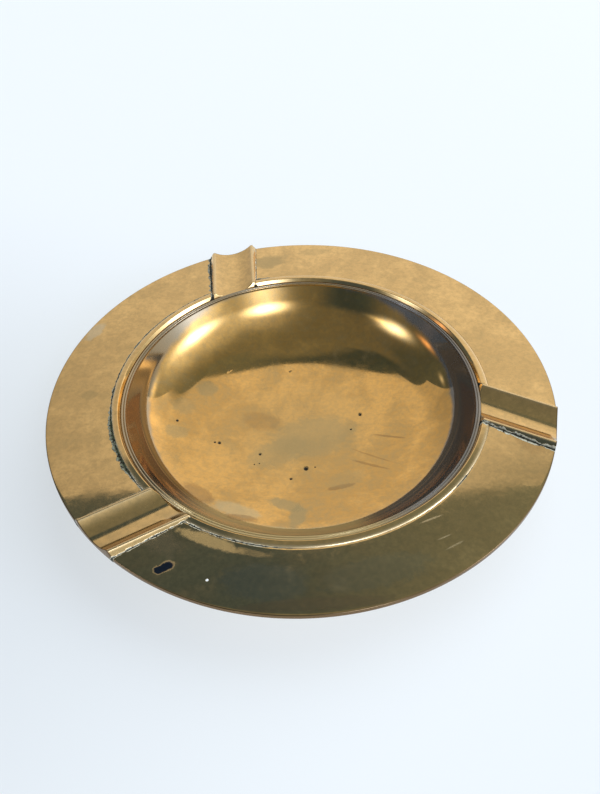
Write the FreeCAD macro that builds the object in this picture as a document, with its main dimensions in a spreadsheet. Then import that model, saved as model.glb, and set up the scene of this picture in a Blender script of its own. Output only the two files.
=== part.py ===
import FreeCAD, Part
import Sketcher

import math
import os

# A brass ashtray: a turned bowl stands in a wide flat brim, and three troughed cigarette rests run
# across the brim to its edge. The rests are skewed, like the blades of a pinwheel. A low moulded
# collar closes the brim round the bowl's mouth between the rests.
#
# Frame: millimetres, +Z up, origin at the centre of the bowl's foot, on the table. Angles are
# counter-clockwise from +X, seen from above. Heights named "..._rise", "..._height" and "..._depth" of
# the brim, collar, lip and rests are measured from the level of the brim's outer top edge.

DRIVING_SIZES = {
    # brim
    "brim_radius": 85.0,
    "brim_level": 21.0,
    "brim_thickness": 1.8,
    "brim_rise": 1.0,
    "rim_rounding": 0.4,
    # bowl
    "floor_radius": 8.5,
    "wall_thickness": 1.6,
    "dish_radius": 131.0,
    "dish_angle": 15.4,
    "corner_radius": 21.0,
    "wall_angle": 61.0,
    "base_corner_radius": 26.0,
    "lip_inner_radius": 58.7,
    "lip_outer_radius": 60.4,
    "lip_height": 0.5,
    "shoulder_radius": 63.0,
    "shoulder_thickness": 1.5,
    # collar
    "collar_inner_radius": 60.45,
    "collar_inner_height": 0.5,
    "ridge_radius": 61.2,
    "ridge_height": 1.65,
    "collar_edge_radius": 63.05,
    "collar_edge_height": 1.35,
    "foot_radius": 63.5,
    # rests
    "rest_offset": 20.93,
    "trough_half_width": 7.1,
    "trough_depth": 2.7,
    "edge_land": 0.7,
    "edge_height": 2.05,
    "flank_run": 1.5,
    "flank_foot_depth": 0.2,
    "right_rest_angle": -28.0,
    "back_rest_angle": 92.7,
    "left_rest_angle": 208.0,
    # solder film between neighbours
    "solder_gap": 0.05,
}

SHEET = "Sizes"
FULL_TURN = 360.0
CUTTER_HEIGHT = 10.0  # how far the cutters reach above and below the brim's level
SMALLEST_CUT = 1.0  # a cut that takes off less than this, in cubic millimetres, has missed


class Size:
    """A number, together with the spreadsheet formula that gives it."""

    def __init__(self, value, formula):
        self.value = value
        self.formula = formula

    def join(self, other, sign, value):
        return Size(value, "(%s %s %s)" % (self.formula, sign, other.formula))

    def __add__(self, other):
        other = as_size(other)
        return self.join(other, "+", self.value + other.value)

    def __sub__(self, other):
        other = as_size(other)
        return self.join(other, "-", self.value - other.value)

    def __neg__(self):
        return Size(-self.value, "(0 - %s)" % self.formula)

    def __mul__(self, other):
        other = as_size(other)
        return self.join(other, "*", self.value * other.value)

    def __truediv__(self, other):
        other = as_size(other)
        return self.join(other, "/", self.value / other.value)

    def sine(self):
        return Size(math.sin(math.radians(self.value)), "sin(%s)" % self.formula)

    def cosine(self):
        return Size(math.cos(math.radians(self.value)), "cos(%s)" % self.formula)


def as_size(number):
    return number if isinstance(number, Size) else Size(float(number), repr(float(number)))


def make_sheet(doc):
    """The driving sizes, one to a row: the name in column A, the number in column B."""
    sheet = doc.addObject("Spreadsheet::Sheet", SHEET)
    for row, (name, number) in enumerate(DRIVING_SIZES.items(), start=1):
        sheet.set("A%d" % row, name)
        sheet.set("B%d" % row, str(number))
        sheet.setAlias("B%d" % row, name)
    doc.recompute()
    return {name: Size(number, "%s.%s" % (SHEET, name)) for name, number in DRIVING_SIZES.items()}


# ---------------------------------------------------------------------------------------------------
# Sketch and feature helpers


def new_body(doc, name, angle=None):
    """A body, turned about Z by an angle of the sheet."""
    body = doc.addObject("PartDesign::Body", name)
    body.Label = name
    if angle is not None:
        body.Placement = FreeCAD.Placement(FreeCAD.Vector(), FreeCAD.Rotation(FreeCAD.Vector(0, 0, 1), 0))
        body.setExpression("Placement.Rotation.Axis.z", "1")
        body.setExpression("Placement.Rotation.Angle", angle.formula)
    return body


def new_sketch(body, role, name, turn=None):
    """A sketch on one of the body's own origin planes, turned about the body's Z axis."""
    plane = next(feature for feature in body.Origin.OriginFeatures if feature.Role == role)
    sketch = body.newObject("Sketcher::SketchObject", name)
    sketch.AttachmentSupport = [(plane, "")]
    sketch.MapMode = "FlatFace"
    if turn is not None:
        upright = FreeCAD.Vector(0, 1, 0)
        sketch.AttachmentOffset = FreeCAD.Placement(FreeCAD.Vector(), FreeCAD.Rotation(upright, 0))
        sketch.setExpression("AttachmentOffset.Rotation.Axis.y", "1")
        sketch.setExpression("AttachmentOffset.Rotation.Angle", turn.formula)
    return sketch


def arc_between(start, end, radius):
    """The short arc from start to end: its centre is to the left for a positive radius."""
    chord = end - start
    middle = (start + end) * 0.5
    left = FreeCAD.Vector(-chord.y, chord.x, 0).normalize()
    reach = math.sqrt(max(radius * radius - chord.Length ** 2 / 4.0, 0.0))
    centre = middle + left * math.copysign(reach, radius)
    first, last = (start, end) if radius > 0 else (end, start)
    angles = [math.atan2(point.y - centre.y, point.x - centre.x) for point in (first, last)]
    circle = Part.Circle(centre, FreeCAD.Vector(0, 0, 1), abs(radius))
    return Part.ArcOfCircle(circle, angles[0], angles[1])


def outline(sketch, corners):
    """A closed outline. A corner is (x, y), or (x, y, radius) where an arc leads to the next corner.

    An arc with a positive radius turns left. Every corner and radius is bound to the spreadsheet."""
    corners = [tuple(as_size(part) for part in corner) for corner in corners]
    points = [FreeCAD.Vector(corner[0].value, corner[1].value, 0) for corner in corners]
    first = sketch.GeometryCount
    count = len(corners)
    ends = []
    for index, corner in enumerate(corners):
        start, end = points[index], points[(index + 1) % count]
        if len(corner) == 3:
            sketch.addGeometry(arc_between(start, end, corner[2].value))
            ends.append((1, 2) if corner[2].value > 0 else (2, 1))
        else:
            sketch.addGeometry(Part.LineSegment(start, end))
            ends.append((1, 2))
    for index, corner in enumerate(corners):
        follower = (index + 1) % count
        meeting = (first + index, ends[index][1], first + follower, ends[follower][0])
        sketch.addConstraint(Sketcher.Constraint("Coincident", *meeting))
        for kind, axis, size in (("DistanceX", -2, corner[0]), ("DistanceY", -1, corner[1])):
            if size.value == 0.0:
                on_axis = Sketcher.Constraint("PointOnObject", first + index, ends[index][0], axis)
                sketch.addConstraint(on_axis)
            else:
                distance = Sketcher.Constraint(kind, -1, 1, first + index, ends[index][0], size.value)
                bind(sketch, distance, size)
        if len(corner) == 3:
            radius = corner[2]
            if radius.value < 0:
                radius = -radius
            bind(sketch, Sketcher.Constraint("Radius", first + index, radius.value), radius)


def bind(sketch, constraint, size):
    number = sketch.addConstraint(constraint)
    sketch.setExpression("Constraints[%d]" % number, size.formula)


def revolve(body, sketch, name, angle=None):
    """Turns a sketch of the XZ plane about Z, all the way or counter-clockwise by an angle."""
    feature = body.newObject("PartDesign::Revolution", name)
    feature.Profile = sketch
    feature.ReferenceAxis = (sketch, ["V_Axis"])
    if angle is None:
        feature.Angle = FULL_TURN
    else:
        feature.setExpression("Angle", angle.formula)
    return feature


def cut_along_x(body, sketch, name, length):
    """Cuts a sketch of the YZ plane out of the body, from the plane towards the sketch's +X side."""
    feature = body.newObject("PartDesign::Pocket", name)
    feature.Profile = sketch
    feature.Reversed = True
    feature.setExpression("Length", length.formula)
    return feature


def turn_away(body, sketch, name):
    """Turns a sketch of the XZ plane about Z and takes it off the body."""
    feature = body.newObject("PartDesign::Groove", name)
    feature.Profile = sketch
    feature.ReferenceAxis = (sketch, ["V_Axis"])
    feature.Angle = FULL_TURN
    return feature


# ---------------------------------------------------------------------------------------------------
# The pieces


def make_bowl(doc, s):
    """A turned bowl: gently dished floor, round corner, steep wall, lip and a shoulder for the brim.

    The underside is flat under the floor, so the wall is thickest where the dish rises."""
    body = new_body(doc, "bowl")
    wall = s["wall_thickness"]
    angle = s["wall_angle"]
    under_brim = s["brim_level"] - s["brim_thickness"]
    under_shoulder = under_brim - s["shoulder_thickness"]
    lip_top = s["brim_level"] + s["lip_height"]
    # Inside: the dish's edge, and the bend where the round corner runs into the straight wall.
    dish_x = s["floor_radius"] + s["dish_radius"] * s["dish_angle"].sine()
    dish_y = wall + s["dish_radius"] - s["dish_radius"] * s["dish_angle"].cosine()
    inner_bend_x = dish_x + s["corner_radius"] * (angle.sine() - s["dish_angle"].sine())
    inner_bend_y = dish_y + s["corner_radius"] * (s["dish_angle"].cosine() - angle.cosine())
    # Outside: the same bend one wall thickness away, and the base's corner, which runs into that wall.
    outer_bend_x = inner_bend_x + wall * angle.sine()
    outer_bend_y = inner_bend_y - wall * angle.cosine()
    slope = angle.cosine() / angle.sine()
    base_bend_y = s["base_corner_radius"] - s["base_corner_radius"] * angle.cosine()
    base_bend_x = outer_bend_x + (base_bend_y - outer_bend_y) * slope
    base_edge = base_bend_x - s["base_corner_radius"] * angle.sine()
    wall_at_shoulder = outer_bend_x + (under_shoulder - outer_bend_y) * slope
    section = new_sketch(body, "XZ_Plane", "bowl_section")
    outline(
        section,
        [
            (0, 0),
            (base_edge, 0, s["base_corner_radius"]),
            (base_bend_x, base_bend_y),
            (wall_at_shoulder, under_shoulder),
            (s["shoulder_radius"] - s["rim_rounding"], under_shoulder),
            (s["shoulder_radius"], under_shoulder + s["rim_rounding"]),
            (s["shoulder_radius"], under_brim - s["solder_gap"]),
            (s["lip_outer_radius"], under_brim - s["solder_gap"]),
            (s["lip_outer_radius"], lip_top - s["rim_rounding"]),
            (s["lip_outer_radius"] - s["rim_rounding"], lip_top),
            (s["lip_inner_radius"] + s["rim_rounding"], lip_top),
            (s["lip_inner_radius"], lip_top - s["rim_rounding"]),
            (inner_bend_x, inner_bend_y, -s["corner_radius"]),
            (dish_x, dish_y, -s["dish_radius"]),
            (s["floor_radius"], wall),
            (0, wall),
        ],
    )
    revolve(body, section, "bowl_turning")
    return body


def flank_outline(s, gap):
    """The outer outline of a rest's cross-section, grown by a gap and open upwards to the cutter's top."""
    foot = s["trough_half_width"] + s["edge_land"] + s["flank_run"] + gap
    crest = s["trough_half_width"] + s["edge_land"] + gap
    bottom = s["brim_level"] - s["brim_thickness"] - s["brim_thickness"]
    foot_level = s["brim_level"] - s["flank_foot_depth"]
    crest_level = s["brim_level"] + s["edge_height"]
    top = s["brim_level"] + CUTTER_HEIGHT
    middle = s["rest_offset"]
    return [
        (middle - foot, bottom),
        (middle + foot, bottom),
        (middle + foot, foot_level),
        (middle + crest, crest_level),
        (middle + crest, top),
        (middle - crest, top),
        (middle - crest, crest_level),
        (middle - foot, foot_level),
    ]


def make_rest(doc, s, name, angle):
    """A bent strip with a round trough: raised edges, steep flanks, trimmed by the brim's circle."""
    body = new_body(doc, name, angle)
    foot = s["trough_half_width"] + s["edge_land"] + s["flank_run"]
    crest = s["trough_half_width"] + s["edge_land"]
    trough = s["trough_half_width"]
    under = s["brim_level"] - s["brim_thickness"]
    foot_level = s["brim_level"] - s["flank_foot_depth"]
    crest_level = s["brim_level"] + s["edge_height"]
    middle = s["rest_offset"]
    trough_radius = (trough * trough + s["trough_depth"] * s["trough_depth"]) / (s["trough_depth"] * 2)
    strip = new_sketch(body, "YZ_Plane", name + "_section")
    outline(
        strip,
        [
            (middle - foot, under),
            (middle + foot, under),
            (middle + foot, foot_level),
            (middle + crest, crest_level),
            (middle + trough, crest_level, -trough_radius),
            (middle - trough, crest_level),
            (middle - crest, crest_level),
            (middle - foot, foot_level),
        ],
    )
    pad = body.newObject("PartDesign::Pad", name + "_strip")
    pad.Profile = strip
    pad.setExpression("Length", s["brim_radius"].formula)

    # The outer end follows the brim's circle. The inner end stops at the lip, and over the collar's
    # width it is cut down to the collar's inner slope.
    slope = (s["ridge_radius"] - s["collar_inner_radius"]) / (s["ridge_height"] - s["collar_inner_height"])
    bottom = s["brim_level"] - CUTTER_HEIGHT
    top = s["brim_level"] + CUTTER_HEIGHT
    slope_top = s["collar_inner_radius"] + (top - s["brim_level"] - s["collar_inner_height"]) * slope
    trimming = new_sketch(body, "XZ_Plane", name + "_trimming")
    outline(
        trimming,
        [
            (s["brim_radius"], bottom),
            (s["brim_radius"] + s["brim_radius"], bottom),
            (s["brim_radius"] + s["brim_radius"], top),
            (s["brim_radius"], top),
        ],
    )
    turn_away(body, trimming, name + "_outer_end")
    lip_trimming = new_sketch(body, "XZ_Plane", name + "_lip_trimming")
    outline(
        lip_trimming,
        [
            (0, bottom),
            (s["collar_inner_radius"], bottom),
            (s["collar_inner_radius"], s["brim_level"] + s["collar_inner_height"]),
            (slope_top, top),
            (0, top),
        ],
    )
    turn_away(body, lip_trimming, name + "_inner_end")
    return body


def make_sector(doc, s, name, section_corners, first_angle, next_angle):
    """A turned ring sector between two rests, its ends cut to the two rests' flanks."""
    # A radial line at this angle from a rest's direction stays inside the rest all across the brim.
    mid_radius = (s["foot_radius"] + s["brim_radius"]) / 2
    lead = Size(
        math.degrees(math.asin(s["rest_offset"].value / mid_radius.value)),
        "(asin(%s / %s) / 1 deg)" % (s["rest_offset"].formula, mid_radius.formula),
    )
    body = new_body(doc, name, first_angle + lead)
    section = new_sketch(body, "XZ_Plane", name + "_section")
    outline(section, section_corners)
    revolve(body, section, name + "_turning", next_angle - first_angle)
    for place, turn in (("start", -lead), ("end", next_angle - first_angle - lead)):
        flank = new_sketch(body, "YZ_Plane", "%s_%s_flank" % (name, place), turn)
        outline(flank, flank_outline(s, s["solder_gap"]))
        cut_along_x(body, flank, "%s_%s_cut" % (name, place), s["brim_radius"] * 2)
    return body


def brim_section(s):
    """A plate with a flat underside, a top that falls a little towards the rim, and an eased edge."""
    inner = s["foot_radius"] + s["solder_gap"]
    under = s["brim_level"] - s["brim_thickness"]
    easing = s["rim_rounding"]
    return [
        (inner, under),
        (s["brim_radius"] - easing, under),
        (s["brim_radius"], under + easing),
        (s["brim_radius"], s["brim_level"] - easing),
        (s["brim_radius"] - easing, s["brim_level"]),
        (inner, s["brim_level"] + s["brim_rise"]),
    ]


def collar_section(s):
    """A low moulding: steeply up from the lip to a ridge, gently down, then steeply to the brim."""
    under = s["brim_level"] - s["brim_thickness"]
    return [
        (s["collar_inner_radius"], under),
        (s["foot_radius"], under),
        (s["foot_radius"], s["brim_level"] + s["brim_rise"]),
        (s["collar_edge_radius"], s["brim_level"] + s["collar_edge_height"]),
        (s["ridge_radius"], s["brim_level"] + s["ridge_height"]),
        (s["collar_inner_radius"], s["brim_level"] + s["collar_inner_height"]),
    ]


def check(doc, pieces):
    """Every object is free of errors, and every piece is one valid solid."""
    for thing in doc.Objects:
        if "Invalid" in thing.State or "Error" in thing.State:
            raise RuntimeError("%s did not recompute: %s" % (thing.Name, thing.State))
    for piece in pieces:
        shape = piece.Shape
        if shape.isNull() or not shape.isValid() or len(shape.Solids) != 1:
            raise RuntimeError("%s is not one valid solid" % piece.Label)
        for before, after in zip(piece.Group, piece.Group[1:]):
            if after.TypeId in ("PartDesign::Pocket", "PartDesign::Groove"):
                if after.Shape.Volume >= after.BaseFeature.Shape.Volume - SMALLEST_CUT:
                    raise RuntimeError("%s cuts nothing" % after.Name)


def build():
    doc = FreeCAD.newDocument("ashtray")
    s = make_sheet(doc)
    rests = [
        ("right", s["right_rest_angle"]),
        ("back", s["back_rest_angle"]),
        ("left", s["left_rest_angle"]),
        ("right", s["right_rest_angle"] + FULL_TURN),
    ]
    sectors = ["back_right", "back_left", "front"]
    pieces = [make_bowl(doc, s)]
    for side, angle in rests[:3]:
        pieces.append(make_rest(doc, s, "rest_" + side, angle))
    for index, place in enumerate(sectors):
        first, following = rests[index][1], rests[index + 1][1]
        pieces.append(make_sector(doc, s, "brim_" + place, brim_section(s), first, following))
        pieces.append(make_sector(doc, s, "collar_" + place, collar_section(s), first, following))
    doc.recompute()
    check(doc, pieces)
    return doc, pieces


def export(pieces):
    os.makedirs("parts", exist_ok=True)
    for piece in pieces:
        piece.Shape.exportStep(os.path.join("parts", piece.Label + ".step"))
        box = piece.Shape.BoundBox
        print(
            "%-18s volume %9.1f  x %7.2f %7.2f  y %7.2f %7.2f  z %6.2f %6.2f"
            % (piece.Label, piece.Shape.Volume, box.XMin, box.XMax, box.YMin, box.YMax, box.ZMin, box.ZMax)
        )


document, all_pieces = build()
export(all_pieces)
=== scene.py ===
import math

import bpy
import numpy as np
from mathutils import Matrix, Vector


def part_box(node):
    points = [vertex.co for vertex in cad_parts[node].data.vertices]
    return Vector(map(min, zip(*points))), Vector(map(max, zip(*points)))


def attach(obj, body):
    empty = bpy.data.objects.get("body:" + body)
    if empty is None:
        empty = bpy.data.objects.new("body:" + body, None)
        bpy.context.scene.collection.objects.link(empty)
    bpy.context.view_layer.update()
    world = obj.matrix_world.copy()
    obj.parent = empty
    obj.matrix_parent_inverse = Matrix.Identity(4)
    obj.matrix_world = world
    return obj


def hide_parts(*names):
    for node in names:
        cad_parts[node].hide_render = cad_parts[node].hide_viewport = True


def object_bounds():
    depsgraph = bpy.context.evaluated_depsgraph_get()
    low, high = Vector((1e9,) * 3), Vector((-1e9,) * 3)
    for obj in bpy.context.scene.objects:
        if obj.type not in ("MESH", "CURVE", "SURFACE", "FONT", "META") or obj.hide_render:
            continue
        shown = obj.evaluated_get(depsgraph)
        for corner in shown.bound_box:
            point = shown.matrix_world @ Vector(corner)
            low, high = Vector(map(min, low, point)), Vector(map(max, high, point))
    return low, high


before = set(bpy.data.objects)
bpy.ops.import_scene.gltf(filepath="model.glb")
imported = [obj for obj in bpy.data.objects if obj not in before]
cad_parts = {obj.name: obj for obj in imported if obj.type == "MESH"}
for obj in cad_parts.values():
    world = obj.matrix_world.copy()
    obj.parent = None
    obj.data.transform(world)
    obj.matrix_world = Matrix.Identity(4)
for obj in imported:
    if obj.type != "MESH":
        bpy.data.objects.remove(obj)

# Looks of the brass ashtray. Lengths in the shape code are millimetres in the row frame: +Z up, the
# origin at the centre of the foot, and angles counter-clockwise from +X. Meshes are built in metres.

CAD_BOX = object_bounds()
MM = 0.001

# ---------------------------------------------------------------------------------------------------
# Sizes, as in the CAD model

BRIM_RADIUS = min(CAD_BOX[1].x, -CAD_BOX[0].x) / MM
UNDER_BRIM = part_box("brim_front")[0].z / MM
BRIM_THICKNESS = 1.8
BRIM_LEVEL = UNDER_BRIM + BRIM_THICKNESS
BRIM_RISE = 1.0
RIM_ROUNDING = 0.4
WALL = 1.6
FLOOR_RADIUS = 8.5
DISH_RADIUS = 131.0
DISH_ANGLE = math.radians(15.4)
CORNER_RADIUS = 21.0
WALL_ANGLE = math.radians(61.0)
BASE_CORNER = 26.0
LIP_INNER = 58.7
LIP_OUTER = 60.4
LIP_TOP = BRIM_LEVEL + 0.5
SHOULDER_RADIUS = 63.0
SHOULDER = 1.5
COLLAR_INNER = 60.45
COLLAR_INNER_LEVEL = BRIM_LEVEL + 0.5
RIDGE_RADIUS = 61.2
RIDGE_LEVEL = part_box("collar_front")[1].z / MM
COLLAR_EDGE = 63.05
COLLAR_EDGE_LEVEL = BRIM_LEVEL + 1.35
COLLAR_FOOT = 63.5
REST_OFFSET = 20.93
TROUGH_HALF = 7.1
TROUGH_DEPTH = 2.7
EDGE_LAND = 0.7
EDGE_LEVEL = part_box("rest_right")[1].z / MM
FLANK_RUN = 1.5
FLANK_FOOT = BRIM_LEVEL - 0.2
GAP = 0.05
REST_ANGLES = {"right": -28.0, "back": 92.7, "left": 208.0}
SECTORS = {"back_right": ("right", "back"), "back_left": ("back", "left"), "front": ("left", "right")}

# Edges at a joint are eased. Rows of points lie close together near the joint, at these distances.
SEAM_EASING = 0.22
REST_END_EASING = 0.18
EDGE_STEPS = np.array([0.0, 0.03, 0.08, 0.15, 0.24, 0.4, 0.7, 1.2])
FAR = 50.0  # a distance at which a joint has no effect


def brim_top(radius):
    """The height of the brim's top at a radius."""
    share = (BRIM_RADIUS - RIM_ROUNDING - radius) / (BRIM_RADIUS - RIM_ROUNDING - COLLAR_FOOT)
    return BRIM_LEVEL + BRIM_RISE * np.clip(share, 0.0, 1.0)


def half_width(height):
    """Half the width of a rest at a height."""
    share = np.clip((height - FLANK_FOOT) / (EDGE_LEVEL - FLANK_FOOT), 0.0, 1.0)
    return TROUGH_HALF + EDGE_LAND + FLANK_RUN * (1.0 - share)


def collar_height(radius):
    """The height of the collar's inner slope at a radius."""
    rate = (RIDGE_LEVEL - COLLAR_INNER_LEVEL) / (RIDGE_RADIUS - COLLAR_INNER)
    return COLLAR_INNER_LEVEL + (radius - COLLAR_INNER) * rate


def easing(distance, radius=SEAM_EASING):
    """How far a rounded edge drops at a distance from the edge."""
    left = np.clip(radius - distance, 0.0, radius)
    return radius - np.sqrt(radius * radius - left * left)


def rounded(corners, steps=4):
    """A polyline with its corners rounded. A corner is (x, y) or (x, y, radius)."""
    points = []
    for index, corner in enumerate(corners):
        here = np.array(corner[:2], float)
        if len(corner) < 3 or index in (0, len(corners) - 1):
            points.append(here)
            continue
        before = np.array(corners[index - 1][:2], float) - here
        after = np.array(corners[index + 1][:2], float) - here
        reach_before, reach_after = np.linalg.norm(before), np.linalg.norm(after)
        before, after = before / reach_before, after / reach_after
        half = math.acos(float(np.clip(before @ after, -1.0, 1.0))) / 2.0
        reach = min(corner[2] / math.tan(half), 0.49 * reach_before, 0.49 * reach_after)
        first, last = here + before * reach, here + after * reach
        for step in range(steps + 1):
            share = step / steps
            points.append((1 - share) ** 2 * first + 2 * share * (1 - share) * here + share ** 2 * last)
    return np.array(points)


def spaced(start, end, step):
    """Evenly spaced numbers from start to end, both included."""
    return np.linspace(start, end, max(2, int(round(abs(end - start) / step)) + 1))


def refine(points, step):
    """The polyline with long runs divided."""
    result = [points[0]]
    for start, end in zip(points, points[1:]):
        count = max(1, int(math.ceil(np.linalg.norm(end - start) / step)))
        for index in range(1, count + 1):
            result.append(start + (end - start) * index / count)
    return np.array(result)


# ---------------------------------------------------------------------------------------------------
# Meshes


def make_mesh(name, points, faces, attributes, sharp=38.0):
    """An object with smooth faces, its normals outwards and a number at each point for each attribute."""
    a, b, c = points[faces[:, 0]], points[faces[:, 1]], points[faces[:, 2]]
    d = points[faces[:, 3]]
    volume = np.einsum("ij,ij->i", a, np.cross(b, c)).sum() + np.einsum("ij,ij->i", a, np.cross(c, d)).sum()
    if volume < 0:
        faces = faces[:, ::-1]
    tidy = [tuple(dict.fromkeys(face)) for face in faces.tolist()]
    mesh = bpy.data.meshes.new(name)
    mesh.from_pydata((points * MM).tolist(), [], tidy)
    mesh.polygons.foreach_set("use_smooth", np.ones(len(mesh.polygons), bool))
    mesh.set_sharp_from_angle(angle=math.radians(sharp))
    for key, values in attributes.items():
        mesh.attributes.new(key, "FLOAT", "POINT").data.foreach_set("value", values.astype(np.float32))
    mesh.validate()
    thing = bpy.data.objects.new(name, mesh)
    bpy.context.scene.collection.objects.link(thing)
    return thing


def ring_faces(rows, columns, wrap_rows, wrap_columns):
    """The quads of a grid of points, whose rows and columns may close on themselves."""
    index = np.arange(rows * columns).reshape(rows, columns)
    down = np.roll(index, -1, 0) if wrap_rows else index[1:]
    here = index if wrap_rows else index[:-1]
    if not wrap_columns:
        quads = np.stack([here[:, :-1], down[:, :-1], down[:, 1:], here[:, 1:]], -1)
    else:
        quads = np.stack([here, down, np.roll(down, -1, 1), np.roll(here, -1, 1)], -1)
    return quads.reshape(-1, 4)


def plate(name, top, bottom, marks):
    """A closed solid between a top and a bottom grid of points, with its long edges and ends closed."""
    rows, columns = top.shape[:2]
    loop = np.concatenate([top, bottom[:, ::-1]], 1)
    faces = ring_faces(rows, 2 * columns, False, True)
    index = np.arange(rows * 2 * columns).reshape(rows, 2 * columns)
    caps = []
    for row, flip in ((0, False), (rows - 1, True)):
        upper, lower = index[row, :columns], index[row, columns:][::-1]
        quads = np.stack([upper[:-1], upper[1:], lower[1:], lower[:-1]], -1)
        caps.append(quads[:, ::-1] if flip else quads)
    points = loop.reshape(-1, 3)
    return make_mesh(name, points, np.concatenate([faces] + caps), marks(points))


def turned(name, section, segments, marks, shape=None):
    """A solid of revolution about Z. The section runs from the axis, over the top and back to the axis."""
    angles = np.linspace(0.0, 2.0 * math.pi, segments, endpoint=False)
    grid = np.stack(
        [
            np.cos(angles)[:, None] * section[None, :, 0],
            np.sin(angles)[:, None] * section[None, :, 0],
            np.ones(segments)[:, None] * section[None, :, 1],
        ],
        -1,
    )
    points = grid.reshape(-1, 3)
    if shape is not None:
        points = shape(points)
    columns = len(section)
    faces = [ring_faces(segments, columns, True, False)]
    poles = np.array([[0.0, 0.0, points[0, 2]], [0.0, 0.0, section[-1, 1]]])
    index = np.arange(segments * columns).reshape(segments, columns)
    for pole, column, flip in ((len(points), 0, True), (len(points) + 1, columns - 1, False)):
        ring = index[:, column]
        fan = np.stack([ring, np.roll(ring, -1), np.full(segments, pole), np.full(segments, pole)], -1)
        faces.append(fan if not flip else fan[:, [1, 0, 2, 3]])
    points = np.concatenate([points, poles])
    return make_mesh(name, points, np.concatenate(faces), marks(points))


# ---------------------------------------------------------------------------------------------------
# Where dirt lies: the distance to the nearest joint, the width of the dirt in it and its kind

# Dirt at the collar's foot: (from angle, to angle, width in mm, share of verdigris, share of pale crust).
FOOT_DIRT = [
    (-180.0, 180.0, 0.06, 0.1, 0.3),
    (164.0, 192.0, 0.42, 0.15, 0.45),
    (188.0, 214.0, 1.05, 0.80, 0.25),
    (100.0, 164.0, 0.32, 0.4, 0.45),
    (213.0, 264.0, 0.26, 0.1, 1.0),
    (102.0, 110.0, 1.2, 0.1, 0.5),
    (-42.0, -37.0, 0.35, 0.1, 0.7),
]
# Dirt at a rest's foot, by rest and side: (width in mm, share of verdigris, share of pale crust).
FLANK_DIRT = {
    ("right", "cw"): (0.72, 0.25, 0.85),
    ("right", "ccw"): (0.16, 0.1, 0.4),
    ("back", "cw"): (0.22, 0.1, 0.8),
    ("back", "ccw"): (0.80, 0.1, 0.45),
    ("left", "cw"): (0.40, 0.5, 0.2),
    ("left", "ccw"): (0.34, 0.1, 1.0),
}
# Trough walls that get a painted dark reflection: brown and less metallic near their upper edge.
PAINTED_REFLECTION_TROUGH_WALLS = {("right", "cw"), ("left", "ccw")}


def blend_in(value, start, end, soft):
    """1 between start and end, 0 outside, with soft ends."""
    rise = np.clip((value - start) / soft + 0.5, 0.0, 1.0)
    fall = np.clip((end - value) / soft + 0.5, 0.0, 1.0)
    return rise * fall


def dirt(points, kind):
    """Attributes at each point of a piece: its dirt, its bright worn edges and the trough walls that get a
    painted dark reflection.
    """
    x, y, z = points.T
    radius = np.hypot(x, y)
    angle = np.degrees(np.arctan2(y, x))
    seam = np.full(len(points), FAR)
    width = np.zeros(len(points))
    green = np.zeros(len(points))
    pale = np.zeros(len(points))
    dull = np.zeros(len(points))

    if kind == "brim":
        reach = radius - COLLAR_FOOT
    elif kind == "collar":
        reach = np.where(radius > COLLAR_EDGE - 0.1, z - BRIM_LEVEL - BRIM_RISE, FAR)
    else:
        reach = np.full(len(points), FAR)
    foot_width = np.zeros(len(points))
    foot_green = np.zeros(len(points))
    foot_pale = np.zeros(len(points))
    for start, end, size, verdigris, residue in FOOT_DIRT:
        middle, half = (start + end) / 2.0, (end - start) / 2.0
        offset = (angle - middle + 180.0) % 360.0 - 180.0
        share = blend_in(offset, -half, half, 8.0) if half < 180.0 else np.ones(len(points))
        foot_width += (size - foot_width) * share
        foot_green += (verdigris - foot_green) * share
        foot_pale += (residue - foot_pale) * share
    nearer = reach < seam
    seam = np.where(nearer, np.maximum(reach, 0.0), seam)
    width = np.where(nearer, foot_width, width)
    green = np.where(nearer, foot_green, green)
    pale = np.where(nearer, foot_pale, pale)

    for side, degrees in REST_ANGLES.items() if kind != "bowl" else ():
        turn = math.radians(degrees)
        along = x * math.cos(turn) + y * math.sin(turn)
        across = -x * math.sin(turn) + y * math.cos(turn) - REST_OFFSET
        for sign, face in ((1.0, "ccw"), (-1.0, "cw")):
            size, verdigris, residue = FLANK_DIRT[(side, face)]
            if kind == "rest":
                own = (along > 0) & (np.abs(across) < 10.0) & (across * sign > TROUGH_HALF + 0.5)
                reach = np.where(own, z - brim_top(radius), FAR)
                in_trough = (along > 0) & (across * sign > 0) & (across * sign < TROUGH_HALF - 0.1)
                # Painted dark reflection on these trough walls.
                if (side, face) in PAINTED_REFLECTION_TROUGH_WALLS:
                    dull = np.where(in_trough, np.clip(across * sign - 4.0, 0.0, 1.0), dull)
            else:
                reach = np.where(along > 0, across * sign - half_width(z), FAR)
                reach = np.where(reach < -1.0, FAR, reach)
            nearer = reach < seam
            seam = np.where(nearer, np.maximum(reach, 0.0), seam)
            width = np.where(nearer, size, width)
            green = np.where(nearer, verdigris, green)
            pale = np.where(nearer, residue, pale)
    if kind == "collar":
        wear = np.exp(-((radius - COLLAR_EDGE - 0.1) / 0.55) ** 2)
    elif kind == "bowl":
        wear = np.where((radius > LIP_INNER + 0.8) & (z > LIP_TOP - 0.5), 0.12, 0.0)
    elif kind == "rest":
        wear = 0.6 * np.clip((z - EDGE_LEVEL + 0.35) / 0.3, 0.0, 1.0)
    else:
        wear = np.zeros(len(points))
    return {"seam": seam, "grime": width, "verdigris": green, "pale": pale, "wear": wear, "dull": dull}


# ---------------------------------------------------------------------------------------------------
# The pieces


def arc(centre_x, centre_y, radius, start, end, step):
    """Points on an arc. Its angles are surface slopes: 0 at the bottom, growing outwards."""
    angles = spaced(start, end, step / radius)[1:]
    return [(centre_x + radius * math.sin(a), centre_y - radius * math.cos(a)) for a in angles]


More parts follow.
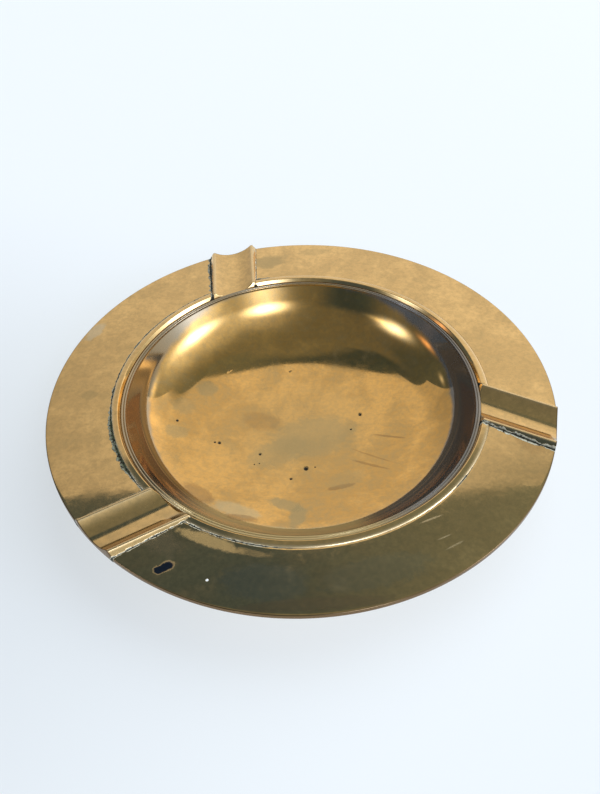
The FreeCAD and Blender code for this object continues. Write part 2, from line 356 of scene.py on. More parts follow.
def bowl_section():
    """The bowl's section: dished floor, corner, wall, double-beaded lip, shoulder and flat base."""
    floor = [(r, WALL) for r in np.concatenate([[0.3, 0.8, 1.4], spaced(2.0, FLOOR_RADIUS, 0.36)])]
    dish = arc(FLOOR_RADIUS, WALL + DISH_RADIUS, DISH_RADIUS, 0.0, DISH_ANGLE, 0.36)
    corner_x = dish[-1][0] - CORNER_RADIUS * math.sin(DISH_ANGLE)
    corner_y = dish[-1][1] + CORNER_RADIUS * math.cos(DISH_ANGLE)
    corner = arc(corner_x, corner_y, CORNER_RADIUS, DISH_ANGLE, WALL_ANGLE, 0.4)
    wall_top = LIP_TOP - 0.38
    bead, groove = LIP_INNER + 0.37, LIP_INNER + 0.78
    start = np.array(corner[-1])
    end = np.array([LIP_INNER, wall_top])
    wall = [start + (end - start) * share for share in np.linspace(0.12, 1.0, 9)]
    inner_bead, outer_bead = np.linspace(0.2, 2.7, 12), np.linspace(0.35, math.pi, 14)
    lip = [(bead - 0.37 * math.cos(a), wall_top + 0.38 * math.sin(a)) for a in inner_bead]
    second, half = (groove + LIP_OUTER) / 2.0, (LIP_OUTER - groove) / 2.0
    lip += [(second - half * math.cos(a), LIP_TOP - 0.42 + 0.42 * math.sin(a)) for a in outer_bead]
    under = UNDER_BRIM - GAP
    under_shoulder = UNDER_BRIM - SHOULDER
    slope = 1.0 / math.tan(WALL_ANGLE)
    bend_x, bend_y = start[0] + WALL * math.sin(WALL_ANGLE), start[1] - WALL * math.cos(WALL_ANGLE)
    base_y = BASE_CORNER - BASE_CORNER * math.cos(WALL_ANGLE)
    base_x = bend_x + (base_y - bend_y) * slope
    outside = rounded(
        [
            (LIP_OUTER, LIP_TOP - 0.9),
            (LIP_OUTER, under, 0.1),
            (SHOULDER_RADIUS, under, 0.3),
            (SHOULDER_RADIUS, under_shoulder, 0.4),
            (bend_x + (under_shoulder - bend_y) * slope, under_shoulder, 0.5),
            (base_x, base_y),
        ]
    )
    base_edge = base_x - BASE_CORNER * math.sin(WALL_ANGLE)
    below = arc(base_edge, BASE_CORNER, BASE_CORNER, WALL_ANGLE, 0.0, 1.0)
    foot = [(r, 0.0) for r in spaced(base_edge, 0.4, 1.0)[1:]]
    inside = floor + dish + corner + wall + lip
    return np.array([tuple(p) for p in inside + list(refine(outside, 1.2)) + below + foot])


# Casting pits in the bowl's floor: (x, y, radius, depth).
PITS = [
    (1.1, -16.8, 1.05, 0.5),
    (-4.1, -21.4, 0.62, 0.4),
    (-14.6, -9.7, 0.62, 0.4),
    (-28.7, -4.9, 0.72, 0.4),
    (-30.3, -4.7, 0.5, 0.3),
    (-43.6, 3.6, 0.6, 0.35),
    (21.2, 7.0, 0.72, 0.4),
    (17.5, 0.4, 0.42, 0.25),
    (-26.1, 29.3, 0.35, 0.2),
    (-3.5, 29.5, 0.35, 0.2),
    (4.2, -16.3, 0.35, 0.15),
    (-16.5, -14.5, 0.3, 0.15),
    (-14.8, -14.0, 0.28, 0.12),
]


def pitted(points):
    """The bowl's points with its pits pressed in."""
    radius = np.hypot(points[:, 0], points[:, 1])
    upper = (points[:, 2] > WALL - 0.1) & (points[:, 2] < 8.0) & (radius < 48.0)
    for x, y, size, depth in PITS:
        away = np.hypot(points[:, 0] - x, points[:, 1] - y) / size
        points[:, 2] -= np.where(upper & (away < 1.0), depth * (1.0 - away ** 2) ** 2, 0.0)
    return points


def make_bowl():
    return turned("ashtray_bowl", bowl_section(), 336, lambda points: dirt(points, "bowl"), pitted)


def sector_grid(section, sector):
    """A ring sector's angles, a row to each step round it, and each row's distance from its end."""
    first, following = (REST_ANGLES[side] for side in SECTORS[sector])
    if following < first:
        following += 360.0
    radius, height = section[:, 0], section[:, 1]
    half = half_width(height) + GAP
    start = math.radians(first) + np.arcsin((REST_OFFSET + half) / radius)
    end = math.radians(following) + np.arcsin((REST_OFFSET - half) / radius)
    steps = EDGE_STEPS[:, None] / radius[None]
    count = int(round(following - first))
    shares = np.linspace(0.0, 1.0, 2 * count)[1:-1, None]
    inner_start, inner_end = start + steps[-1], end - steps[-1]
    angles = np.concatenate(
        [start + steps, inner_start + (inner_end - inner_start) * shares, (end - steps)[::-1]]
    )
    middle = np.full(2 * count - 2, FAR)
    away = np.concatenate([EDGE_STEPS, middle, EDGE_STEPS[::-1]])
    return angles, away


def sector_piece(name, top, bottom, sector, kind):
    grids = []
    for section, eased in ((top, True), (bottom, False)):
        angles, away = sector_grid(section, sector)
        height = np.repeat(section[None, :, 1], len(angles), 0)
        if eased:
            height = height - easing(away)[:, None]
        grids.append(np.stack([np.cos(angles) * section[:, 0], np.sin(angles) * section[:, 0], height], -1))
    return plate(name, grids[0], grids[1], lambda points: dirt(points, kind))


def make_brim(sector):
    inner = COLLAR_FOOT + GAP
    outer = BRIM_RADIUS
    top = rounded(
        [
            (inner, BRIM_LEVEL + BRIM_RISE - 0.5),
            (inner, BRIM_LEVEL + BRIM_RISE, 0.03),
            (outer, brim_top(outer), RIM_ROUNDING),
            (outer, UNDER_BRIM + 0.9),
        ],
        5,
    )
    top = refine(top, 0.5)
    easing_start = outer - RIM_ROUNDING
    turns = [inner, outer - 1.2, easing_start, outer]
    bottom_r = np.interp(np.linspace(0.0, 1.0, len(top)), [0.0, 0.8, 0.9, 1.0], turns)
    bottom_z = UNDER_BRIM + np.maximum(bottom_r - easing_start, 0.0)
    return sector_piece("ashtray_brim_" + sector, top, np.stack([bottom_r, bottom_z], -1), sector, "brim")


def make_collar(sector):
    top = rounded(
        [
            (COLLAR_INNER, COLLAR_INNER_LEVEL - 0.6),
            (COLLAR_INNER, COLLAR_INNER_LEVEL, 0.1),
            (RIDGE_RADIUS, RIDGE_LEVEL, 0.35),
            (COLLAR_EDGE + 0.1, COLLAR_EDGE_LEVEL, 0.9),
            (COLLAR_FOOT, BRIM_LEVEL + BRIM_RISE, 0.05),
            (COLLAR_FOOT, BRIM_LEVEL + BRIM_RISE - 0.35),
        ],
        6,
    )
    top = refine(top, 0.25)
    bottom = np.stack([np.linspace(COLLAR_INNER, COLLAR_FOOT, len(top)), np.full(len(top), UNDER_BRIM)], -1)
    return sector_piece("ashtray_collar_" + sector, top, bottom, sector, "collar")


def make_rest(side):
    crest = TROUGH_HALF + EDGE_LAND
    foot = crest + FLANK_RUN
    trough_radius = (TROUGH_HALF ** 2 + TROUGH_DEPTH ** 2) / (2.0 * TROUGH_DEPTH)
    centre = EDGE_LEVEL - TROUGH_DEPTH + trough_radius
    across = np.linspace(-TROUGH_HALF, TROUGH_HALF, 41)[1:-1]
    trough = [(y, centre - math.sqrt(trough_radius ** 2 - y * y)) for y in across]
    left = [
        (-foot, UNDER_BRIM),
        (-foot, FLANK_FOOT, 0.2),
        (-crest, EDGE_LEVEL, 0.28),
        (-TROUGH_HALF, EDGE_LEVEL, 0.28),
        trough[0],
    ]
    right = [(-p[0],) + tuple(p[1:]) for p in left[::-1]]
    profile = np.concatenate([rounded(left), np.array(trough[1:-1]), rounded(right)])
    profile = refine(profile, 0.5)
    turn = math.radians(REST_ANGLES[side])
    y = profile[:, 0] + REST_OFFSET
    z = profile[:, 1]
    inner = np.sqrt(COLLAR_INNER ** 2 - y ** 2)
    outer = np.sqrt((BRIM_RADIUS - 0.01) ** 2 - y ** 2)
    collar_width = COLLAR_FOOT - COLLAR_INNER
    first, last = inner + collar_width, outer - EDGE_STEPS[-1]
    near = np.concatenate([[0.0, 0.04, 0.1, 0.18], spaced(0.3, collar_width, 0.15)[:-1]])[:, None]
    shares = np.linspace(0.0, 1.0, 60)[:-1, None]
    ending = (outer - EDGE_STEPS[:, None])[::-1]
    along = np.concatenate([inner + near, first + (last - first) * shares, ending])
    # Over the collar's width the rest is cut down to the collar's inner slope.
    away = np.concatenate([near[:, 0], np.full(len(shares), FAR), EDGE_STEPS[::-1]])
    cut = collar_height(np.hypot(along, y))
    height = np.broadcast_to(z, along.shape)
    height = (height + cut - np.sqrt((height - cut) ** 2 + 0.15 ** 2)) / 2.0
    height = height - easing(away, REST_END_EASING)[:, None]
    grids = []
    for heights in (np.maximum(height, UNDER_BRIM + 0.05), np.full(along.shape, UNDER_BRIM)):
        px = along * math.cos(turn) - y * math.sin(turn)
        py = along * math.sin(turn) + y * math.cos(turn)
        grids.append(np.stack([px, py, heights], -1))
    return plate("ashtray_rest_" + side, grids[0], grids[1], lambda points: dirt(points, "rest"))


# ---------------------------------------------------------------------------------------------------
# Materials


class Tree:
    """A node tree with short calls for the nodes used here."""

    def __init__(self, tree):
        self.tree = tree
        tree.nodes.clear()

    def add(self, kind, inputs=None, **settings):
        node = self.tree.nodes.new(kind)
        for key, value in settings.items():
            setattr(node, key, value)
        for key, value in (inputs or {}).items():
            self.put(value, node.inputs[key])
        return node

    def put(self, value, socket):
        if isinstance(value, bpy.types.NodeSocket):
            self.tree.links.new(value, socket)
        else:
            socket.default_value = value

    def math(self, operation, first, second=None, third=None, clamp=False):
        inputs = {0: first}
        if second is not None:
            inputs[1] = second
        if third is not None:
            inputs[2] = third
        return self.add("ShaderNodeMath", inputs, operation=operation, use_clamp=clamp).outputs[0]

    def smooth(self, value, low, high, out_low=0.0, out_high=1.0):
        inputs = {"Value": value, "From Min": low, "From Max": high, "To Min": out_low, "To Max": out_high}
        return self.add("ShaderNodeMapRange", inputs, interpolation_type="SMOOTHSTEP").outputs["Result"]

    def noise(self, place, scale, detail=3.0, roughness=0.55, distortion=0.0):
        inputs = {"Vector": place, "Scale": scale, "Detail": detail, "Roughness": roughness}
        return self.add("ShaderNodeTexNoise", {**inputs, "Distortion": distortion}).outputs["Fac"]

    def rings(self, radius, scale, detail=4.0):
        """Noise along the radius only: the marks of turning."""
        inputs = {"W": radius, "Scale": scale, "Detail": detail, "Roughness": 0.6}
        return self.add("ShaderNodeTexNoise", inputs, noise_dimensions="1D").outputs["Fac"]

    def mix(self, share, first, second, blend="MIX"):
        node = self.add("ShaderNodeMix", {"Factor": share}, data_type="RGBA", blend_type=blend)
        for name, value in (("A", first), ("B", second)):
            socket = next(s for s in node.inputs if s.name == name and s.type == "RGBA")
            self.put(value if isinstance(value, bpy.types.NodeSocket) else tuple(value) + (1.0,), socket)
        return next(s for s in node.outputs if s.type == "RGBA")

    def plus(self, colour, share, tint):
        """A colour with a share of another added. The share may be more than 1."""
        scaled = self.add("ShaderNodeVectorMath", {0: tint, "Scale": share}, operation="SCALE").outputs[0]
        return self.add("ShaderNodeVectorMath", {0: colour, 1: scaled}, operation="ADD").outputs[0]

    def blend(self, share, first, second):
        """A number between two numbers."""
        node = self.add("ShaderNodeMix", {"Factor": share, "A": first, "B": second}, data_type="FLOAT")
        return node.outputs["Result"]

    def attribute(self, name):
        return self.add("ShaderNodeAttribute", attribute_name=name).outputs["Fac"]


def blot(t, place, x, y, long, short, turn, ragged, soft=0.25):
    """A mask that is 1 in a ragged ellipse on the surface. Lengths in mm, turn in degrees."""
    moved = t.add(
        "ShaderNodeMapping",
        {"Vector": place, "Location": (x * MM, y * MM, 0.0), "Rotation": (0.0, 0.0, math.radians(turn)),
         "Scale": (long * MM, short * MM, 1.0)},
        vector_type="TEXTURE",
    ).outputs[0]
    split = t.add("ShaderNodeSeparateXYZ", {0: moved})
    flat = t.add("ShaderNodeCombineXYZ", {0: split.outputs[0], 1: split.outputs[1]}).outputs[0]
    length = t.add("ShaderNodeVectorMath", {0: flat}, operation="LENGTH").outputs["Value"]
    edge = t.math("ADD", length, t.math("MULTIPLY", t.math("SUBTRACT", ragged, 0.5), 1.1))
    return t.smooth(edge, 1.0 + soft, 1.0 - soft)


GOLD = (0.92, 0.585, 0.230)
WORN = (0.90, 0.680, 0.380)
WARM = (0.87, 0.480, 0.135)
OLIVE = (0.44, 0.320, 0.140)
BROWN = (0.34, 0.190, 0.070)
# Painted dark reflection on trough walls.
TROUGH_PAINTED_REFLECTION = (0.42, 0.330, 0.200)
# Painted reflection and shade on the bowl's steep wall, by side.
WALL_LEFT_PAINTED_REFLECTION = (0.38, 0.305, 0.200)
WALL_FRONT_PAINTED_REFLECTION = (0.58, 0.430, 0.190)
WALL_RIGHT_PAINTED_DARK_REFLECTION = (0.20, 0.200, 0.190)
RIM_BROWN = (0.20, 0.125, 0.060)
BLACK = (0.020, 0.017, 0.012)
INK = (0.004, 0.007, 0.012)
GREEN = (0.100, 0.115, 0.060)
PALE = (0.66, 0.61, 0.44)
WHITE = (0.80, 0.80, 0.76)


def brass(name, base, smoothness, tarnish, waves, stains=(), pits=(), turning=0.0, wall=False):
    """Polished, handled brass: cloudy tarnish, wiping marks, stains, dirt in its joints, and painted
    reflection and shade on the bowl's wall and on some trough walls.

    Bump heights are micrometres. waves is the height of the long, shallow unevenness of hand work."""
    material = bpy.data.materials.new(name)
    material.use_nodes = True
    t = Tree(material.node_tree)
    coordinates = t.add("ShaderNodeTexCoord")
    place = coordinates.outputs["Object"]
    facing = t.add("ShaderNodeSeparateXYZ", {0: coordinates.outputs["Normal"]}).outputs[2]
    upper = t.smooth(facing, -0.05, 0.1)
    ragged = t.noise(place, 420.0, 5.0, 0.65)
    broad = t.noise(place, 26.0, 3.0, 0.5, 0.3)
    clouds = t.noise(place, 95.0, 7.0, 0.66, 0.3)
    mottle = t.noise(place, 330.0, 4.0, 0.6, 0.4)
    grains = t.noise(place, 1500.0, 3.0, 0.6)
    stretched = t.add("ShaderNodeMapping", {"Vector": place, "Scale": (0.10, 1.0, 1.0)}).outputs[0]
    wiped = t.noise(stretched, 520.0, 3.0)

    level = t.math("ADD", t.math("MULTIPLY", broad, 0.45), t.math("MULTIPLY", clouds, 0.55))
    darker = tuple(0.74 * part for part in base)
    colour = t.mix(t.math("MULTIPLY", t.smooth(level, 0.42, 0.57), tarnish), base, darker)
    spread = t.math("MULTIPLY", t.smooth(clouds, 0.48, 0.72), t.smooth(mottle, 0.30, 0.62))
    colour = t.mix(t.math("MULTIPLY", spread, tarnish * 0.5), colour, OLIVE)
    fine = t.noise(place, 620.0, 5.0, 0.7)
    colour = t.mix(t.smooth(fine, 0.36, 0.66, 0.0, 0.36), colour, OLIVE)
    colour = t.mix(t.math("MULTIPLY", t.smooth(wiped, 0.50, 0.72), tarnish * 0.10), colour, BROWN)
    rough = t.blend(t.smooth(level, 0.36, 0.66), smoothness[0], smoothness[1])
    rough = t.math("ADD", rough, t.math("MULTIPLY", t.smooth(mottle, 0.5, 0.7), 0.03))
    height = t.math("ADD", t.math("MULTIPLY", grains, 0.3), t.math("MULTIPLY", wiped, 0.15))
    height = t.math("ADD", height, t.math("MULTIPLY", t.noise(place, 65.0, 2.0), waves))
    height = t.math("ADD", height, t.math("MULTIPLY", t.noise(place, 230.0, 2.0), waves * 0.22))
    film = t.math("MULTIPLY", spread, tarnish * 0.10)

    split = t.add("ShaderNodeSeparateXYZ", {0: place})
    flat = t.add("ShaderNodeCombineXYZ", {0: split.outputs[0], 1: split.outputs[1]}).outputs[0]
    radius = t.add("ShaderNodeVectorMath", {0: flat}, operation="LENGTH").outputs["Value"]
    if turning:
        lines = t.rings(radius, 900.0)
        rough = t.math("ADD", rough, t.math("MULTIPLY", t.math("SUBTRACT", lines, 0.5), 0.03 * turning))
        height = t.math("ADD", height, t.math("MULTIPLY", lines, 0.5 * turning))
    if wall:
        # The middle of the floor is more tarnished.
        colour = t.mix(t.smooth(radius, 40.0 * MM, 8.0 * MM, 0.0, 0.32), colour, OLIVE)
        # The steep wall is duller than the floor; over it, colour and film change with the side as painted
        # reflection and shade: brown on the left, dark on the right and a lighter brown at the front.
        east = t.math("DIVIDE", split.outputs[0], radius)
        north = t.math("DIVIDE", split.outputs[1], radius)
        beyond = t.math("SUBTRACT", radius, t.math("MULTIPLY", north, 6.8 * MM))
        beyond = t.math("ADD", beyond, t.math("MULTIPLY", t.math("SUBTRACT", clouds, 0.5), 2.0 * MM))
        on_wall = t.smooth(beyond, 51.7 * MM, 53.0 * MM)
        right = t.smooth(east, 0.30, 0.62)
        front = t.math("MULTIPLY", t.smooth(north, -0.55, -0.85), t.math("SUBTRACT", 1.0, right))
        dull = t.mix(right, t.mix(front, WALL_LEFT_PAINTED_REFLECTION, WALL_FRONT_PAINTED_REFLECTION), WALL_RIGHT_PAINTED_DARK_REFLECTION)
        colour = t.mix(t.math("MULTIPLY", on_wall, 0.9), colour, dull)
        film = t.blend(on_wall, film, t.blend(right, t.blend(front, 0.06, 0.42), 0.28))

    # Raised edges are worn bright. The rim of the brim is coloured dark brown.
    # Painted dark reflection: the marked trough walls are brown and a little less metallic.
    trough_painted_reflection = t.attribute("dull")
    colour = t.mix(t.math("MULTIPLY", trough_painted_reflection, 0.75), colour, TROUGH_PAINTED_REFLECTION)
    film = t.math("MAXIMUM", film, t.math("MULTIPLY", trough_painted_reflection, 0.06))
    worn = t.attribute("wear")
    colour = t.mix(t.math("MULTIPLY", worn, t.blend(mottle, 0.6, 1.0)), colour, WORN)
    rough = t.blend(worn, rough, 0.32)
    on_rim = t.smooth(radius, (BRIM_RADIUS - 0.42) * MM, (BRIM_RADIUS - 0.1) * MM)
    colour = t.mix(on_rim, colour, RIM_BROWN)

    for x, y, long, short, turn, strength, tint, cover in stains:
        mask = t.math("MULTIPLY", blot(t, place, x, y, long, short, turn, ragged), strength)
        mask = t.math("MULTIPLY", mask, upper)
        colour = t.mix(mask, colour, tint)
        film = t.math("MAXIMUM", film, t.math("MULTIPLY", mask, cover))
        rough = t.math("ADD", rough, t.math("MULTIPLY", mask, 0.10 + 0.25 * cover))

    # Dirt in the joints: black at the bottom, verdigris and pale crust on it. Pits are black too.
    seam, width = t.attribute("seam"), t.attribute("grime")
    green, pale = t.attribute("verdigris"), t.attribute("pale")
    lumps = t.noise(place, 360.0, 3.0, 0.5)
    reach = t.math("MULTIPLY", width, t.smooth(lumps, 0.30, 0.70, 0.45, 1.6))
    grime = t.smooth(t.math("SUBTRACT", reach, seam), -0.04, 0.12)
    crust = t.noise(place, 1100.0, 4.0, 0.65)
    dirt_colour = t.mix(t.math("MULTIPLY", t.smooth(crust, 0.40, 0.56), green), BLACK, GREEN)
    shore = t.smooth(t.math("DIVIDE", seam, t.math("MAXIMUM", reach, 0.01)), 0.15, 0.65)
    crusted = t.math("MULTIPLY", t.math("MULTIPLY", shore, pale), t.smooth(crust, 0.36, 0.50))
    dirt_colour = t.mix(crusted, dirt_colour, PALE)
    for x, y, size, _ in pits:
        mask = t.math("MULTIPLY", blot(t, place, x, y, size * 0.8, size * 0.8, 0.0, ragged, 0.35), upper)
        dirt_colour = t.mix(mask, dirt_colour, BLACK)
        grime = t.math("MAXIMUM", grime, mask)

    colour = t.mix(grime, colour, dirt_colour)
    rough = t.blend(grime, rough, 0.75)
    metallic = t.math("SUBTRACT", 1.0, t.math("MAXIMUM", grime, film), clamp=True)
    height = t.math("ADD", height, t.math("MULTIPLY", t.math("MULTIPLY", grime, crust), 40.0))
    bump = t.add("ShaderNodeBump", {"Height": height, "Strength": 1.0, "Distance": 1e-6}).outputs["Normal"]
    shader = t.add(
        "ShaderNodeBsdfPrincipled",
        {"Base Color": colour, "Metallic": metallic, "Roughness": rough, "Normal": bump,
         "Specular IOR Level": t.blend(t.math("MAXIMUM", grime, film), 0.5, 0.12)},
    )
    t.add("ShaderNodeOutputMaterial", {"Surface": shader.outputs[0]})
    return material


# ---------------------------------------------------------------------------------------------------
# Light: a pale backdrop behind the object, a dim room above, and windows in front and to the sides


def make_world():
    world = bpy.data.worlds.new("room")
    bpy.context.scene.world = world
    world.use_nodes = True
    t = Tree(world.node_tree)
    direction = t.add("ShaderNodeTexCoord").outputs["Generated"]
    split = t.add("ShaderNodeSeparateXYZ", {0: direction})
    elevation = t.math("MULTIPLY", t.math("ARCSINE", split.outputs[2]), 180.0 / math.pi)

    def azimuth_from(middle):
        turned_by = t.add(
            "ShaderNodeVectorRotate",
            {"Vector": direction, "Angle": -math.radians(middle)},
            rotation_type="Z_AXIS",
        ).outputs[0]
        parts = t.add("ShaderNodeSeparateXYZ", {0: turned_by})
        return t.math("MULTIPLY", t.math("ARCTAN2", parts.outputs[1], parts.outputs[0]), 180.0 / math.pi)

    def patch(middle, half, low, high, soft_side, soft_low, soft_high):
        """A soft-edged mask round an azimuth, between two elevations."""
        away = t.math("ABSOLUTE", azimuth_from(middle))
        side = t.smooth(away, half + soft_side, half - soft_side)
        bottom = t.smooth(elevation, low - soft_low, low + soft_low)
        top = t.smooth(elevation, high + soft_high, high - soft_high)
        return t.math("MULTIPLY", t.math("MULTIPLY", side, bottom), top)

    def glow(middle, height, wide, tall, strength):
        """A soft bright spot."""
        across = t.math("DIVIDE", t.math("ABSOLUTE", azimuth_from(middle)), wide)
        up = t.math("DIVIDE", t.math("ABSOLUTE", t.math("SUBTRACT", elevation, height)), tall)
        away = t.math("ADD", t.math("POWER", across, 2.0), t.math("POWER", up, 2.0))
        return t.math("MULTIPLY", t.math("EXPONENT", t.math("MULTIPLY", away, -1.0)), strength)

    colour = t.mix(t.smooth(split.outputs[0], -0.8, 0.8), (0.17, 0.195, 0.22), (0.27, 0.305, 0.295))
    # The dark band of the room just above the backdrop, darkest to the left.
    leftwards = t.smooth(azimuth_from(90.0), -35.0, 12.0)
    border = t.mix(leftwards, (0.22, 0.27, 0.29), (0.07, 0.11, 0.165))
    colour = t.mix(patch(90.0, 50.0, 20.0, 67.5, 10.0, 8.0, 1.5), colour, border)
    colour = t.mix(patch(140.0, 38.0, 0.0, 57.0, 12.0, 5.0, 5.0), colour, (0.105, 0.145, 0.195))
    colour = t.mix(patch(-125.0, 17.0, -5.0, 31.0, 10.0, 5.0, 8.0), colour, (0.06, 0.10, 0.17))
    colour = t.mix(patch(12.0, 18.0, -10.0, 8.0, 8.0, 5.0, 5.0), colour, (0.40, 0.37, 0.28))
    for middle, height, wide, tall, strength, tint in WINDOWS:
        share = glow(middle, height, wide, tall, strength)
        colour = t.plus(colour, share, tint)
    # The camera sees a plain pale surround above the floor's horizon.
    seen = t.add("ShaderNodeLightPath").outputs["Is Camera Ray"]
    colour = t.mix(seen, colour, (0.86, 0.90, 0.94))
    background = t.add("ShaderNodeBackground", {"Color": colour, "Strength": 1.0})
    t.add("ShaderNodeOutputWorld", {"Surface": background.outputs[0]})
    world.cycles.sampling_method = "MANUAL"
    world.cycles.sample_map_resolution = 2048


def make_backdrop():
    """The upright pale sheet that the brass mirrors: highest in the middle, dimmer to the left."""
    x = np.linspace(-0.66, 0.68, 90)
    spread = np.where(x > 0.0, 0.210, 0.165)
    top = 0.70 + 0.24 * np.exp(-(x / spread) ** 2)
    points = [(a, BACKDROP_Y, 0.0) for a in x] + [(a, BACKDROP_Y, b) for a, b in zip(x, top)]
    count = len(x)
    faces = [(i, i + 1, count + i + 1, count + i) for i in range(count - 1)]
    mesh = bpy.data.meshes.new("backdrop")
    mesh.from_pydata(points, [], faces)
    sheet = bpy.data.objects.new("backdrop", mesh)
    bpy.context.scene.collection.objects.link(sheet)
    material = bpy.data.materials.new("backdrop_glow")
    material.use_nodes = True
    t = Tree(material.node_tree)
    place = t.add("ShaderNodeTexCoord").outputs["Object"]
    split = t.add("ShaderNodeSeparateXYZ", {0: place})
    across, up = split.outputs[0], split.outputs[2]
    colour = t.mix(t.smooth(across, -0.45, 0.05), (0.52, 0.525, 0.53), (0.85, 0.86, 0.88))
    colour = t.mix(t.smooth(across, 0.1, 0.6), colour, (0.95, 0.97, 1.0))
    low = t.math("MULTIPLY", t.smooth(up, 0.42, 0.20), t.smooth(across, 0.18, 0.42))
    colour = t.mix(low, colour, (1.25, 1.22, 1.2))
    far_right = t.math("MULTIPLY", t.smooth(across, 0.12, 0.4), t.smooth(up, 0.52, 0.70))
    colour = t.mix(t.math("MULTIPLY", far_right, 0.75), colour, (0.30, 0.33, 0.33))
    emission = t.add("ShaderNodeEmission", {"Color": colour, "Strength": 1.0})
    t.add("ShaderNodeOutputMaterial", {"Surface": emission.outputs[0]})
    mesh.materials.append(material)
    sheet.visible_camera = False
    sheet.visible_diffuse = False
    sheet.visible_shadow = False
    sheet.visible_transmission = False
    return sheet


def make_light(name, place, aim, size, energy, colour, glossy):
    data = bpy.data.lights.new(name, "AREA")
    data.shape = "DISK"
    data.size = size
    data.energy = energy
    data.color = colour
    light = bpy.data.objects.new(name, data)
    bpy.context.scene.collection.objects.link(light)
    light.location = place
    light.rotation_mode = "QUATERNION"
    light.rotation_quaternion = (Vector(aim) - Vector(place)).to_track_quat("-Z", "Y")
    light.visible_glossy = glossy
    return light


def make_floor():
    mesh = bpy.data.meshes.new("floor")
    half = 2.2
    corners = [(-half, -half, 0.0), (half, -half, 0.0), (half, half, 0.0), (-half, half, 0.0)]
    mesh.from_pydata(corners, [], [(0, 1, 2, 3)])
    floor = bpy.data.objects.new("floor", mesh)
    bpy.context.scene.collection.objects.link(floor)
    material = bpy.data.materials.new("floor_paint")
    material.use_nodes = True
    t = Tree(material.node_tree)
    place = t.add("ShaderNodeTexCoord").outputs["Object"]
    # The floor's glow is dimmer round this point: a painted shadow.
    middle_of_shade = (-0.20, -0.05, 0.0)
    away = t.add("ShaderNodeVectorMath", {0: place, 1: middle_of_shade}, operation="DISTANCE")
    shade = t.smooth(away.outputs["Value"], 0.24, 0.04)
    shader = t.add(
        "ShaderNodeBsdfPrincipled",
        {"Base Color": (0.22, 0.225, 0.23, 1.0), "Roughness": 0.8, "Specular IOR Level": 0.1,
         "Emission Color": (0.905, 0.965, 1.0, 1.0), "Emission Strength": t.blend(shade, 0.72, 0.56)},
    )
    t.add("ShaderNodeOutputMaterial", {"Surface": shader.outputs[0]})
    mesh.materials.append(material)
    return floor


def make_camera():
    """The camera of the reference view: three quarters from above, a little rolled."""
    distance, elevation = 0.30444, math.radians(45.275)
    pan, tilt, roll = -0.000204, -0.003244, -0.03689
    level = Vector((0.0, 0.0, BRIM_LEVEL * MM))
    offset = Vector((0.0, -math.cos(elevation), math.sin(elevation))) * distance
    ahead = -offset.normalized()
    across = Vector((1.0, 0.0, 0.0))
    ahead = (ahead + across * pan + across.cross(ahead) * tilt).normalized()
    right = ahead.cross(Vector((0.0, 0.0, 1.0))).normalized()
    up = right.cross(ahead)
    rolled_right = right * math.cos(roll) + up * math.sin(roll)
    rolled_up = up * math.cos(roll) - right * math.sin(roll)
    data = bpy.data.cameras.new("camera")
    data.sensor_width = 36.0
    data.lens = 900.0 / 794.0 * 36.0
    data.clip_start = 0.01
    camera = bpy.data.objects.new("camera", data)
    bpy.context.scene.collection.objects.link(camera)
    axes = Matrix((rolled_right, rolled_up, -ahead)).transposed().to_4x4()
    camera.matrix_world = Matrix.Translation(offset + level) @ axes
    bpy.context.scene.camera = camera


# ---------------------------------------------------------------------------------------------------
# The scene

BACKDROP_Y = 0.469  # metres behind the object's middle

# Bright spots round the object: azimuth, elevation, half width, half height, strength and colour.
WINDOWS = [
    (-68.5, 30.0, 11.0, 9.5, 7.5, (0.92, 1.08, 1.5)),
    (-60.0, 40.0, 24.0, 26.0, 0.5, (0.95, 1.06, 1.35)),
    (-19.0, 21.5, 13.0, 8.0, 7.5, (0.92, 1.08, 1.5)),
    (-10.0, 26.0, 30.0, 26.0, 0.95, (0.95, 1.06, 1.3)),
    (-161.0, 27.5, 9.0, 8.0, 4.5, (0.92, 1.08, 1.5)),
    (-150.0, 28.0, 8.0, 3.5, 0.8, (1.0, 1.05, 1.0)),
    (178.0, 11.0, 6.0, 3.5, 1.3, (1.0, 0.62, 0.42)),
    (27.0, 13.0, 9.0, 4.0, 1.0, (1.0, 1.0, 1.0)),
    (153.0, 19.5, 3.0, 2.5, 0.6, (1.0, 1.1, 1.3)),
    (142.0, 16.0, 2.5, 2.5, 0.35, (1.0, 1.0, 1.1)),
]

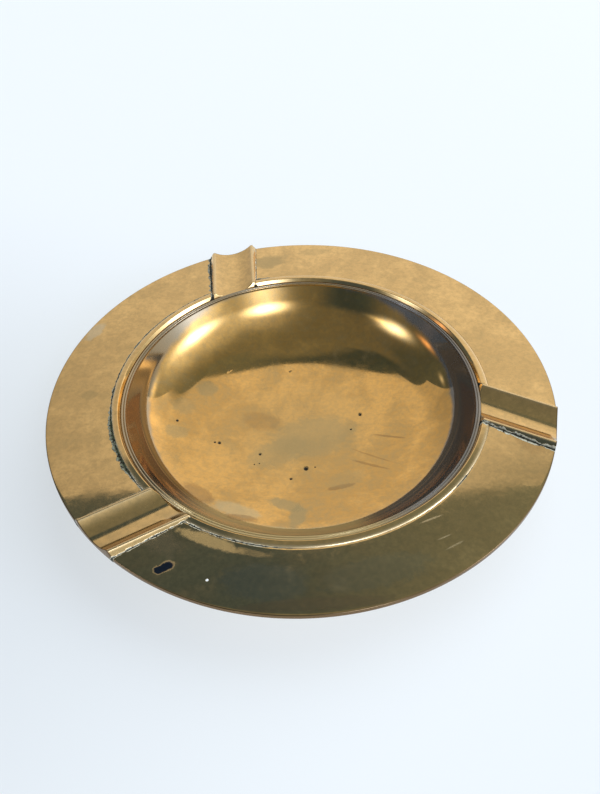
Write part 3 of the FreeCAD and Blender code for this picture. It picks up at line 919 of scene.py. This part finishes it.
# Stains: (x, y, half length, half width, turn, strength, colour, share of a dull film over the metal).
FLOOR_STAINS = [
    (-33.9, 20.1, 3.8, 3.4, 20.0, 0.62, OLIVE, 0.10),
    (-42.0, 11.0, 4.2, 3.6, 0.0, 0.45, OLIVE, 0.06),
    (-43.6, -1.6, 3.8, 3.1, 0.0, 0.55, OLIVE, 0.10),
    (-6.3, -33.6, 6.0, 2.4, -25.0, 0.75, OLIVE, 0.14),
    (-2.2, -39.5, 2.6, 5.4, -15.0, 0.80, OLIVE, 0.14),
    (-22.0, -36.5, 8.0, 3.0, -20.0, 0.50, (0.60, 0.50, 0.28), 0.08),
    (-20.0, -40.5, 5.0, 1.6, -10.0, 0.55, BROWN, 0.05),
    (-34.3, -29.9, 6.0, 3.0, -40.0, 0.55, BROWN, 0.05),
    (12.4, -26.4, 5.0, 1.0, 12.0, 0.65, BROWN, 0.05),
    (14.0, -23.0, 7.0, 3.6, 10.0, 0.35, OLIVE, 0.05),
    (22.5, -17.0, 6.5, 0.5, -28.0, 0.55, BROWN, 0.0),
    (24.5, -13.5, 7.5, 0.35, -33.0, 0.45, BROWN, 0.0),
    (30.5, -5.0, 5.5, 0.45, -20.0, 0.60, BROWN, 0.0),
    (4.0, -2.0, 15.0, 9.0, 10.0, 0.55, OLIVE, 0.06),
    (-8.0, -9.0, 11.0, 6.0, 25.0, 0.50, OLIVE, 0.06),
    (-14.0, 6.0, 7.0, 4.0, -15.0, 0.30, BROWN, 0.0),
]
BRIM_STAINS = [
    (-40.3, -67.7, 2.7, 1.6, 20.0, 1.0, INK, 1.0),
    (-42.0, -68.6, 1.6, 1.5, 0.0, 1.0, INK, 1.0),
    (-28.1, -72.6, 0.45, 0.4, 0.0, 1.0, WHITE, 1.0),
    (-10.8, 73.6, 6.0, 4.2, 12.0, 0.65, OLIVE, 0.06),
    (-71.4, 2.7, 2.8, 2.2, 0.0, 0.45, OLIVE, 0.04),
    (8.0, 79.5, 6.0, 2.2, 5.0, 0.35, OLIVE, 0.04),
    (-74.0, 36.0, 5.0, 2.4, 60.0, 0.45, (0.62, 0.56, 0.40), 0.14),
    (37.0, -54.8, 3.6, 0.28, 22.0, 0.55, WORN, 0.22),
    (43.0, -63.9, 3.0, 0.28, 28.0, 0.5, WORN, 0.18),
    (40.5, -61.0, 2.4, 0.22, 24.0, 0.6, WORN, 0.20),
    (-47.0, -55.0, 13.0, 4.5, 140.0, 0.50, (0.50, 0.36, 0.18), 0.08),
    (-28.2, -59.4, 10.0, 1.9, 155.0, 0.90, (0.74, 0.48, 0.18), 0.26),
    (-17.4, -63.9, 7.0, 1.1, 166.0, 0.60, (0.66, 0.43, 0.17), 0.10),
    (-12.0, -74.0, 12.0, 6.0, -6.0, 0.45, (0.30, 0.33, 0.22), 0.03),
    (20.0, -72.0, 16.0, 5.0, 12.0, 0.35, (0.34, 0.33, 0.20), 0.03),
    (2.0, -81.5, 22.0, 2.0, 2.0, 0.50, (0.36, 0.24, 0.12), 0.05),
    (72.0, -22.0, 9.0, 5.0, -60.0, 0.35, BROWN, 0.05),
]

MATERIALS = {
    "bowl": brass("bowl_brass", WARM, (0.035, 0.08), 0.9, 14.0, FLOOR_STAINS, PITS, 1.0, True),
    "brim": brass("brim_brass", GOLD, (0.035, 0.08), 0.7, 30.0, BRIM_STAINS),
    "rest": brass("rest_brass", GOLD, (0.07, 0.14), 0.6, 14.0),
    "collar": brass("collar_brass", GOLD, (0.06, 0.12), 0.5, 14.0),
}


def place_piece(piece, node):
    kind = node.split("_")[0]
    piece.data.materials.append(MATERIALS[kind])
    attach(piece, "root")
    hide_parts(node)


place_piece(make_bowl(), "bowl")
for side in REST_ANGLES:
    place_piece(make_rest(side), "rest_" + side)
for sector in SECTORS:
    place_piece(make_brim(sector), "brim_" + sector)
    place_piece(make_collar(sector), "collar_" + sector)

make_world()
make_floor()
make_backdrop()
make_light("overhead", (0.9, 0.8, 1.5), (0.1, 0.1, 0.0), 2.4, 36.0, (0.94, 0.98, 1.0), False)
make_camera()
scene = bpy.context.scene
scene.view_settings.view_transform = "Standard"
